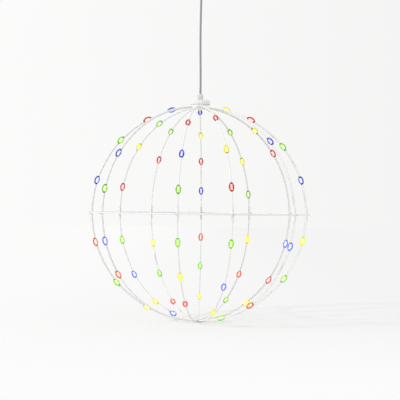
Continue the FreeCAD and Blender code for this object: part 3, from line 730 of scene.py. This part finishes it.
@dataclass
class Lamps:
    """The lamps on the ribs: oval clear covers, one piece for each colour, and their lit guides.

    Attributes:
        length, width, tip_radius, wall: The cover's size, its rounded ends and its wall.
        rib_bore, lead_bore, lead_offset: The hole at each end, round the rib and its lead.
        seam: How far the moulding seam stands out.
        guide_length, guide_wall: The lit guide's length and its wall round the rib.
        chip_size: Height, width and length of the chip's pad on it.
        upper_glow, lower_glow: How strongly the edges glow above and below the ring.
        dimmest, brightest, seed: Each lamp's own brightness, drawn between the two.
        chip_reach: How far a chip's corners can be from each other.
        row_crowding: Below 1, the rows of faces crowd towards the ends.
        halvings: How often the search for the hole's edge is halved.
        segments, rows, guide_rows: How finely cover and guide are divided.
    """

    plan: GlobePlan
    length: float = 0.017
    width: float = 0.0096
    tip_radius: float = 0.003
    wall: float = 0.001
    rib_bore: float = 0.0015
    lead_bore: float = 0.0007
    lead_offset: float = 0.00205
    seam: float = 0.00008
    guide_length: float = 0.0094
    guide_wall: float = 0.0002
    chip_size: tuple[float, float, float] = (0.0005, 0.0018, 0.003)
    upper_glow: float = 0.1
    lower_glow: float = 1.0
    dimmest: float = 0.8
    brightest: float = 1.2
    chip_reach: float = 0.0045
    row_crowding: float = 0.8
    halvings: int = 40
    segments: int = 24
    rows: int = 17
    guide_rows: int = 8
    seed: int = 4

    def profile(self, angle: float, inset: float) -> tuple[float, float]:
        """A point of the oval outline.

        Args:
            angle: Which way the outline faces there, 0 at the widest point.
            inset: How far inside the outer face it lies.

        Returns:
            The point's distance from the axis and its height.
        """
        half, wide, tip = self.length / 2, self.width / 2, self.tip_radius
        side = (half ** 2 + wide ** 2 - 2 * half * tip) / 2 / (wide - tip)
        change = math.atan2(half - tip, side - wide)
        if abs(angle) <= change:
            bow = side - inset
            return wide - side + bow * math.cos(angle), bow * math.sin(angle)
        rise = (half - tip) * math.copysign(1, angle)
        return (tip - inset) * math.cos(angle), rise + (tip - inset) * math.sin(angle)

    def bore(self, turn: float) -> float:
        """How far the hole at each end reaches, in one direction from the rib's axis.

        Args:
            turn: The direction, 0 away from the globe's centre.

        Returns:
            The reach, which is longer on the lead's side.
        """
        aside = math.pi - turn
        within = self.lead_bore ** 2 - (self.lead_offset * math.sin(aside)) ** 2
        if within <= 0 or math.cos(aside) <= 0:
            return self.rib_bore
        return max(self.rib_bore, self.lead_offset * math.cos(aside) + math.sqrt(within))

    def edge_angle(self, reach: float, inset: float) -> float:
        """Where the outline comes in to the hole.

        Args:
            reach: The hole's reach.
            inset: How far inside the outer face the outline lies.

        Returns:
            The outline's angle there.
        """
        low, high = 0.0, math.pi / 2
        for _ in range(self.halvings):
            middle = (low + high) / 2
            if self.profile(middle, inset)[0] > reach:
                low = middle
            else:
                high = middle
        return low

    def cover_mesh(self) -> bpy.types.Mesh:
        """Returns:
            One cover as a closed shell, X away from the globe's centre and Z along the rib.
        """
        points: list[tuple[float, float, float]] = []
        for inset in (0.0, self.wall):
            for row in range(self.rows + 1):
                share = 2 * row / self.rows - 1
                share = math.copysign(abs(share) ** self.row_crowding, share)
                share = share if inset == 0.0 else -share
                for segment in range(self.segments):
                    turn = 2 * math.pi * segment / self.segments
                    angle = share * self.edge_angle(self.bore(turn), inset)
                    reach, height = self.profile(angle, inset)
                    if inset == 0.0 and row in (self.rows // 2, self.rows // 2 + 1):
                        reach += self.seam
                    points.append((reach * math.cos(turn), reach * math.sin(turn), height))
        mesh = bpy.data.meshes.new("cover_shell")
        mesh.from_pydata(points, [], self.ring_faces(len(points)))
        mesh.polygons.foreach_set("use_smooth", [True] * len(mesh.polygons))
        mesh.update()
        return mesh

    def ring_faces(self, count: int) -> list[tuple[int, int, int, int]]:
        """The faces of a closed band of rings, each joined to the next and the last to the first.

        Args:
            count: How many points the rings have together.

        Returns:
            The faces.
        """
        faces = []
        rings = count // self.segments
        for ring in range(rings):
            for segment in range(self.segments):
                here = ring * self.segments + segment
                beside = ring * self.segments + (segment + 1) % self.segments
                over = (ring + 1) % rings * self.segments
                faces.append((here, beside, over + beside % self.segments, over + segment))
        return faces

    def guide_mesh(self) -> bpy.types.Mesh:
        """Returns:
            One lit guide: a closed sleeve round the rib and its lead, and the chip's raised pad.
        """
        points: list[tuple[float, float, float]] = []
        for row in range(self.guide_rows + 2):
            turn_up = math.pi * (row / (self.guide_rows + 1) - 0.5)
            for segment in range(self.segments):
                turn = 2 * math.pi * segment / self.segments
                reach = self.bore(turn) + self.guide_wall * math.sqrt(max(math.cos(turn_up), 0.0))
                height = self.guide_length / 2 * math.sin(turn_up)
                points.append((reach * math.cos(turn), reach * math.sin(turn), height))
        faces = self.ring_faces(len(points))
        high, wide, long = self.chip_size
        foot = self.rib_bore + self.guide_wall / 2
        top = self.rib_bore + self.guide_wall + high
        first = len(points)
        for level, inset in ((foot, 0.0), (top - high / 3, 0.0), (top, high / 3)):
            half_wide, half_long = wide / 2 - inset, long / 2 - inset
            for side_y, side_z in ((-1, -1), (1, -1), (1, 1), (-1, 1)):
                points.append((level, side_y * half_wide, side_z * half_long))
        for ring in range(2):
            for corner in range(4):
                here = first + ring * 4 + corner
                beside = first + ring * 4 + (corner + 1) % 4
                faces.append((here, beside, beside + 4, here + 4))
        faces.append((first + 3, first + 2, first + 1, first))
        faces.append((first + 8, first + 9, first + 10, first + 11))
        mesh = bpy.data.meshes.new("guide_shell")
        mesh.from_pydata(points, [], faces)
        mesh.update()
        return mesh

    def spots(self) -> list[Lamp]:
        """Find each lamp from its light chip and the cover that stands round it.

        Returns:
            For each lamp its colour, its centre and how it is turned.
        """
        chips = node_points("light_chips")
        covers = {colour: node_points("lamp_covers_" + colour.value) for colour in LampColour}
        centre = np.array(self.plan.centre)
        found = []
        while len(chips):
            near = np.linalg.norm(chips - chips[0], axis=1) < self.chip_reach
            corners, chips = chips[near], chips[~near]
            middle = corners.mean(0)
            outward = (middle - centre) / np.linalg.norm(middle - centre)
            long_way = np.linalg.svd(corners - middle, full_matrices=False)[2][0]
            along = long_way - outward * (long_way @ outward)
            along /= np.linalg.norm(along)
            aside = np.cross(along, outward)
            spot = centre + outward * self.plan.wire_radius
            distance = {
                colour: np.linalg.norm(points - spot, axis=1).min()
                for colour, points in covers.items()}
            colour = min(distance, key=distance.get)
            turn = Matrix((outward, aside, along)).transposed()
            found.append((colour, spot, turn))
        return found

    def tree(self) -> GeometryTree:
        """Returns:
            The tree that puts a shape on every lamp's point, each with its own brightness.
        """
        tree = GeometryTree("lamps_on_ribs")
        part = tree.size("Part", "NodeSocketObject")
        dim = tree.size("Dimmest")
        bright = tree.size("Brightest")
        seed = tree.size("Seed", "NodeSocketInt")
        shape = tree.add("GeometryNodeObjectInfo", {"Object": part})
        turn = tree.add(
            "GeometryNodeInputNamedAttribute", {"Name": "turn"}, data_type="FLOAT_VECTOR")
        copies = tree.add("GeometryNodeInstanceOnPoints", {
            "Points": tree.inlet.outputs["Geometry"], "Instance": shape.outputs["Geometry"],
            "Rotation": turn.outputs[0]})
        draw = tree.add("FunctionNodeRandomValue", data_type="FLOAT")
        for key, value in (("Min", dim), ("Max", bright), ("Seed", seed)):
            socket = next(one for one in draw.inputs if one.name == key and one.enabled)
            tree.tree.links.new(value, socket)
        drawn = next(one for one in draw.outputs if one.enabled)
        share = tree.add(
            "GeometryNodeInputNamedAttribute", {"Name": "share"}, data_type="FLOAT").outputs[0]
        stored = tree.add("GeometryNodeStoreNamedAttribute", {
            "Geometry": copies.outputs[0], "Name": "glow",
            "Value": tree.maths("MULTIPLY", drawn, share)}, data_type="FLOAT", domain="INSTANCE")
        tree.close(stored.outputs[0])
        return tree

    def lamp_points(self, lamps: list[Lamp]) -> bpy.types.Object:
        """Points that carry what the tree needs to know of each lamp.

        Args:
            lamps: Each lamp's colour, its centre and how it is turned.

        Returns:
            The points, as an object for the tree to work on.
        """
        mesh = bpy.data.meshes.new("lamp_points")
        mesh.from_pydata([spot for _, spot, _ in lamps], [], [])
        for name, kind in (("turn", "FLOAT_VECTOR"), ("light", "FLOAT_COLOR"), ("share", "FLOAT")):
            mesh.attributes.new(name, kind, "POINT")
        known = mesh.attributes
        for index, (colour, spot, turn) in enumerate(lamps):
            known["turn"].data[index].vector = turn.to_euler()
            light = COVERS[colour].light(self.wall * MILLIMETRES)
            known["light"].data[index].color = (*light, 1.0)
            low = spot[2] < self.plan.centre.z
            known["share"].data[index].value = self.lower_glow if low else self.upper_glow
        return add_object("lamp_points", mesh)

    def build(self) -> list[bpy.types.Object]:
        """Returns:
            The four pieces of covers and the guides.
        """
        lamps = self.spots()
        tree = self.tree()
        values = {"Dimmest": self.dimmest, "Brightest": self.brightest, "Seed": self.seed}
        cover = add_object("cover_shell", self.cover_mesh())
        made = []
        for colour in LampColour:
            own = [lamp for lamp in lamps if lamp[0] is colour]
            piece = tree.bake(self.lamp_points(own), colour.value + "_clear_covers", {
                **values, "Part": cover, "Finish": COVERS[colour].make()})
            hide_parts("lamp_covers_" + colour.value)
            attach(piece, PENDANT)
            made.append(piece)
        guide = add_object("guide_shell", self.guide_mesh())
        guides = tree.bake(self.lamp_points(lamps), "lit_lamp_guides", {
            **values, "Part": guide, "Finish": LIGHT_GUIDE.make()})
        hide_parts("lamp_holders", "light_chips")
        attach(guides, PENDANT)
        made.append(guides)
        bpy.data.objects.remove(cover)
        bpy.data.objects.remove(guide)
        return made


@dataclass
class TwistedLeads:
    """The thin two-strand leads along the ribs, from the hub's board down to the last lamps.

    Attributes:
        path_radius: How far the leads' middle line is from the globe's centre.
        strand_radius, pitch: Radius of a strand and length of one twist.
        step, strand_sides, path_steps: How finely strands and paths are divided.
        search_width: How many strand radii from a rib's plane its lead may lie.
        ribs: How many ribs there are.
    """

    plan: GlobePlan
    path_radius: float = 0.19795
    strand_radius: float = 0.0003
    pitch: float = 0.024
    step: float = 0.00125
    path_steps: int = 60
    strand_sides: int = 6
    search_width: float = 3.0
    ribs: int = 11

    def tree(self) -> GeometryTree:
        """Returns:
            The tree that winds two strands round each path.
        """
        tree = GeometryTree("twisted_pair")
        pitch = tree.size("Pitch")
        step = tree.size("Step")
        radius = tree.size("Strand Radius")
        path = tree.add("GeometryNodeMeshToCurve", {0: tree.inlet.outputs["Geometry"]})
        line = tree.add(
            "GeometryNodeResampleCurve", {"Curve": path.outputs[0], "Length": step}, mode="LENGTH")
        run = tree.add("GeometryNodeSplineParameter").outputs["Length"]
        turn = tree.maths("MULTIPLY", tree.maths("DIVIDE", run, pitch), 2 * math.pi)
        normal = tree.add("GeometryNodeInputNormal").outputs[0]
        tangent = tree.add("GeometryNodeInputTangent").outputs[0]
        across = tree.vector("CROSS_PRODUCT", tangent, normal)
        pair = tree.add("GeometryNodeJoinGeometry")
        for phase in (0.0, math.pi):
            angle = tree.maths("ADD", turn, phase)
            one = tree.vector("SCALE", normal, scale=tree.maths("COSINE", angle))
            other = tree.vector("SCALE", across, scale=tree.maths("SINE", angle))
            offset = tree.vector("SCALE", tree.vector("ADD", one, other), scale=radius)
            strand = tree.add("GeometryNodeSetPosition", {
                "Geometry": line.outputs[0], "Offset": offset})
            tree.tree.links.new(strand.outputs[0], pair.inputs[0])
        ring = tree.add("GeometryNodeCurvePrimitiveCircle", {
            "Resolution": self.strand_sides, "Radius": radius})
        solid = tree.add("GeometryNodeCurveToMesh", {
            "Curve": pair.outputs[0], "Profile Curve": ring.outputs[0], "Fill Caps": True})
        tree.close(solid.outputs[0])
        return tree

    def build(self) -> list[bpy.types.Object]:
        """Returns:
            The leads of the upper half and those of the lower half.
        """
        tree = self.tree()
        made = []
        for half in ("upper", "lower"):
            points = node_points(half + "_leads") - np.array(self.plan.centre)
            spots: list[np.ndarray] = []
            edges: list[tuple[int, int]] = []
            for rib in range(1, self.ribs + 1):
                line = RibLine(self.plan, f"{half}_rib_{rib:02d}")
                angles = line.angles(points, self.strand_radius * self.search_width)
                path = line.path(self.path_radius, angles.min(), angles.max(), self.path_steps)
                edges += [(len(spots) + i, len(spots) + i + 1) for i in range(len(path) - 1)]
                spots += list(path)
            mesh = bpy.data.meshes.new("lead_paths")
            mesh.from_pydata(spots, edges, [])
            piece = tree.bake(add_object("lead_paths", mesh), half + "_twisted_leads", {
                "Pitch": self.pitch, "Step": self.step, "Strand Radius": self.strand_radius,
                "Finish": LEAD_SHEATH.make()})
            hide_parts(half + "_leads")
            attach(piece, PENDANT)
            made.append(piece)
        return made


@dataclass
class Studio:
    """The pale floor, the soft daylight and the key light.

    Attributes:
        floor_gap, floor_radius, floor_sides: The round floor, a little below the foot.
        floor_grain, grain_dark, grain_light: Its faint grain.
        seam_start, seam_end: Between what distances it runs into the background.
        sky: Strength of the soft light.
        backdrop_left, backdrop_right, backdrop_colour: The seen background at the two sides, with
        painted shade that darkens the right side.
        fade_turn, fade_reach: How far to each side the painted shade changes, as a direction and
            on the floor.
        front_tone: The floor's brightness towards the camera, painted light that makes the near
            floor lighter.
        front_start, front_end, front_share: Where that begins and ends, and its share there.
        floor_bounce: How much light the floor gives back to the object.
        key_strength, key_size, key_colour: The key light.
        key_height, key_front: How high it stands, and how far in front of the left side.
    """

    plan: GlobePlan
    floor_gap: float = 0.0001
    floor_radius: float = 9.0
    floor_sides: int = 96
    floor_grain: float = 160.0
    grain_dark: float = 0.996
    grain_light: float = 1.004
    seam_start: float = 0.7
    seam_end: float = 1.9
    sky: float = 0.84
    backdrop_left: float = 0.965
    backdrop_right: float = 0.905
    fade_turn: float = 0.19
    fade_reach: float = 0.45
    front_tone: float = 0.98
    front_start: float = 0.1
    front_end: float = -0.7
    front_share: float = 0.85
    floor_bounce: float = 0.85
    key_strength: float = 1.0
    key_size: float = math.radians(1.5)
    key_height: float = math.radians(25)
    key_front: float = math.radians(29)
    key_colour: Colour = (1.0, 0.995, 0.985)
    backdrop_colour: Colour = (1.0, 1.0, 0.995)

    def shown_rays(self, nodes: Nodes) -> Socket:
        """Args:
            nodes: The nodes of a material or of the world.

        Returns:
            The socket that is 1 for what the camera sees, straight, mirrored or through glass.
        """
        path = nodes.add("ShaderNodeLightPath")
        seen = nodes.maths("MAXIMUM", path.outputs["Is Camera Ray"], path.outputs["Is Glossy Ray"])
        return nodes.maths("MAXIMUM", seen, path.outputs["Is Transmission Ray"])

    def painted_side_shade(self, nodes: Nodes, place: Socket, reach: float) -> Socket:
        """The backdrop's brightness, which falls off a little from left to right: painted shade on
        the right side.

        Args:
            nodes: The nodes of a material or of the world.
            place: A place or a direction.
            reach: How far to each side it changes.

        Returns:
            The brightness's socket.
        """
        across = nodes.add("ShaderNodeSeparateXYZ", {0: place}).outputs[0]
        return nodes.add("ShaderNodeMapRange", {
            "Value": across, "From Min": -reach, "From Max": reach,
            "To Min": self.backdrop_left, "To Max": self.backdrop_right}).outputs[0]

    def light_sky(self) -> None:
        """Set the world: soft light from everywhere and a near-white background."""
        world = bpy.data.worlds.new("soft_daylight")
        world.use_nodes = True
        world.node_tree.nodes.clear()
        nodes = Nodes(world.node_tree)
        soft = nodes.add("ShaderNodeBackground", {"Color": (1, 1, 1, 1), "Strength": self.sky})
        direction = nodes.add("ShaderNodeTexCoord").outputs["Generated"]
        # Painted shade: the seen background is darker towards the right.
        seen = nodes.add("ShaderNodeBackground", {
            "Color": (*self.backdrop_colour, 1),
            "Strength": self.painted_side_shade(nodes, direction, self.fade_turn)})
        mixed = nodes.add("ShaderNodeMixShader", {
            0: self.shown_rays(nodes), 1: soft.outputs[0], 2: seen.outputs[0]})
        nodes.add("ShaderNodeOutputWorld", {"Surface": mixed.outputs[0]})
        bpy.context.scene.world = world

    def floor_material(self) -> bpy.types.Material:
        """Returns:
            The floor's material: it keeps the shadow and runs into the background far away.
        """
        material, nodes = start_material("pale_floor")
        place = nodes.add("ShaderNodeTexCoord").outputs["Object"]
        grain = nodes.noise(place, self.floor_grain)
        grain = nodes.spread(grain, self.grain_dark, self.grain_light)
        seen = self.shown_rays(nodes)
        # Painted shade: the floor, like the backdrop, is darker towards the right.
        fade = self.painted_side_shade(nodes, place, self.fade_reach)
        on_white = self.sky + self.key_strength * math.sin(self.key_height) / math.pi
        # Painted light: the floor is painted lighter towards the camera.
        forward = nodes.add("ShaderNodeSeparateXYZ", {0: place}).outputs[1]
        front = nodes.add("ShaderNodeMapRange", {
            "Value": forward, "From Min": self.front_start, "From Max": self.front_end,
            "To Max": self.front_share}).outputs[0]
        missing = nodes.maths("MULTIPLY", nodes.maths("SUBTRACT", self.front_tone, fade), front)
        share = nodes.maths("DIVIDE", nodes.maths("ADD", fade, missing), on_white)
        lift = nodes.add("ShaderNodeMapRange", {
            "Value": seen, "To Min": self.floor_bounce, "To Max": share})
        tone = nodes.maths("MULTIPLY", grain, lift.outputs[0])
        near = nodes.add("ShaderNodeBsdfDiffuse", {
            "Color": nodes.add("ShaderNodeCombineXYZ", {0: tone, 1: tone, 2: tone}).outputs[0]})
        light = nodes.add("ShaderNodeMapRange", {
            "Value": seen, "To Min": self.sky, "To Max": fade})
        far = nodes.add("ShaderNodeEmission", {
            "Color": (*self.backdrop_colour, 1), "Strength": light.outputs[0]})
        away = nodes.add("ShaderNodeVectorMath", {0: place}, operation="LENGTH").outputs["Value"]
        reach = nodes.add("ShaderNodeMapRange", {
            "Value": away, "From Min": self.seam_start, "From Max": self.seam_end},
            interpolation_type="SMOOTHSTEP")
        top = nodes.add("ShaderNodeMixShader", {
            0: reach.outputs[0], 1: near.outputs[0], 2: far.outputs[0]})
        under = nodes.add("ShaderNodeBsdfTransparent")
        back = nodes.add("ShaderNodeNewGeometry").outputs["Backfacing"]
        both = nodes.add("ShaderNodeMixShader", {0: back, 1: top.outputs[0], 2: under.outputs[0]})
        nodes.add("ShaderNodeOutputMaterial", {"Surface": both.outputs[0]})
        return material

    def build(self) -> None:
        """Make the floor, the sky and the key light."""
        rim = []
        for side in range(self.floor_sides):
            turn = 2 * math.pi * side / self.floor_sides
            rim.append((self.floor_radius * math.cos(turn), self.floor_radius * math.sin(turn), 0))
        mesh = bpy.data.meshes.new("studio_floor")
        mesh.from_pydata(rim, [], [tuple(range(self.floor_sides))])
        mesh.materials.append(self.floor_material())
        floor = add_object("studio_floor", mesh)
        floor.location.z = self.plan.foot_bottom - self.floor_gap
        self.light_sky()
        lamp = bpy.data.lights.new("key_light", "SUN")
        lamp.energy = self.key_strength
        lamp.angle = self.key_size
        lamp.color = self.key_colour
        key = add_object("key_light", lamp)
        level = math.cos(self.key_height)
        towards = Vector((
            -level * math.cos(self.key_front), -level * math.sin(self.key_front),
            math.sin(self.key_height)))
        key.rotation_euler = towards.to_track_quat("Z", "Y").to_euler()


def main() -> None:
    """Build every sub-assembly around the CAD frame and report its pieces."""
    logging.basicConfig(level=logging.INFO, format="%(message)s")
    plan = GlobePlan()
    PhotographView(plan).build()
    report(SupplyCord(plan).build())
    dress_nodes()
    for piece in Lamps(plan).build() + TwistedLeads(plan).build():
        report(piece)
    Studio(plan).build()
    bpy.context.scene.view_settings.view_transform = "Standard"


if __name__ == "__main__":
    main()
